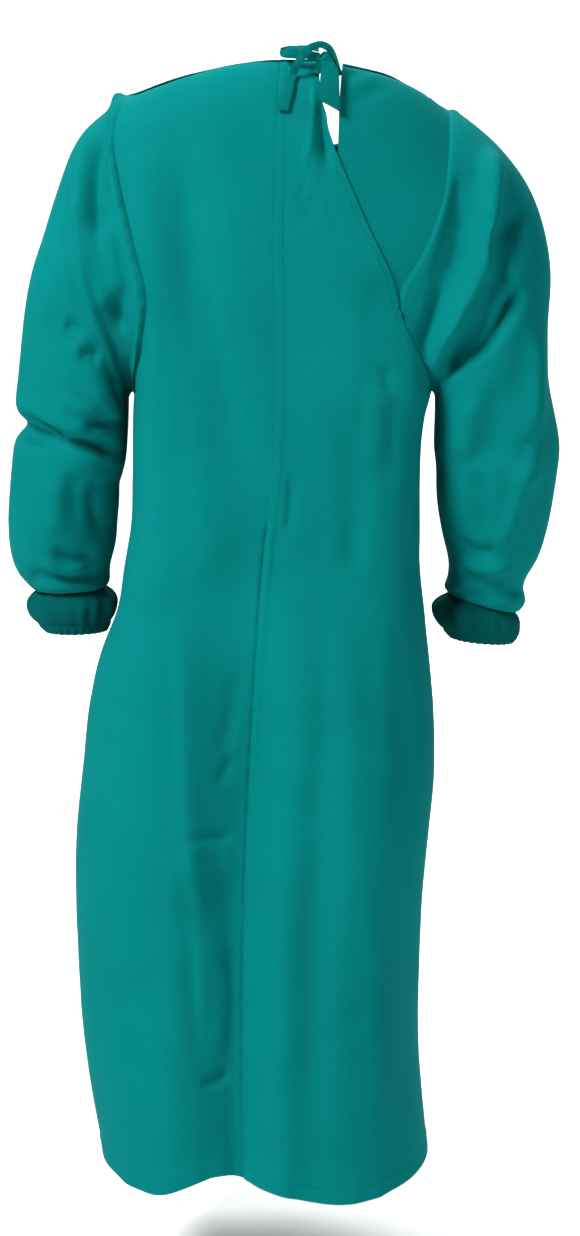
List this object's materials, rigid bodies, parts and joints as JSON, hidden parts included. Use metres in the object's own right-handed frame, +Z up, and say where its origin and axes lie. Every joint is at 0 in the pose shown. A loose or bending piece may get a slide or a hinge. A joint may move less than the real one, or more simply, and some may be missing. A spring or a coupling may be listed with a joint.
{
  "type": "surgical gown",
  "caption": "Long wrap-around surgical gown in plain teal cloth, worn and hollow, tied in a bow at the back of the neck, with set-in sleeves and gathered cuffs.",
  "frame": {"origin": "between the wearer's shoulders at the height of the back neck edge, where the shoulders carry the gown", "axes": "+Z up the wearer's body, +Y out of the chest (the back faces -Y), +X towards the wearer's right hand"},
  "size_m": [0.6127, 0.3355, 1.2437],
  "materials": {
    "gown_cloth": "matt woven polyester and cotton, teal green",
    "cuff_cloth": "matt gathered cloth, a shade darker",
    "tape_cloth": "matt folded bias tape"
  },
  "bodies": {
    "root": {"back_left_panel": "gown_cloth", "back_flap": "gown_cloth", "back_right_panel": "gown_cloth", "front_panel": "gown_cloth", "sleeve_left": "gown_cloth", "sleeve_right": "gown_cloth", "cuff_left": "cuff_cloth", "cuff_right": "cuff_cloth", "neck_binding_left": "tape_cloth", "neck_binding_right": "tape_cloth", "neck_binding_front": "tape_cloth", "tie_under": "tape_cloth", "tie_flap": "tape_cloth", "tie_loop": "tape_cloth", "tie_end_right": "tape_cloth", "tie_knot": "tape_cloth"}
  },
  "joints": []
}
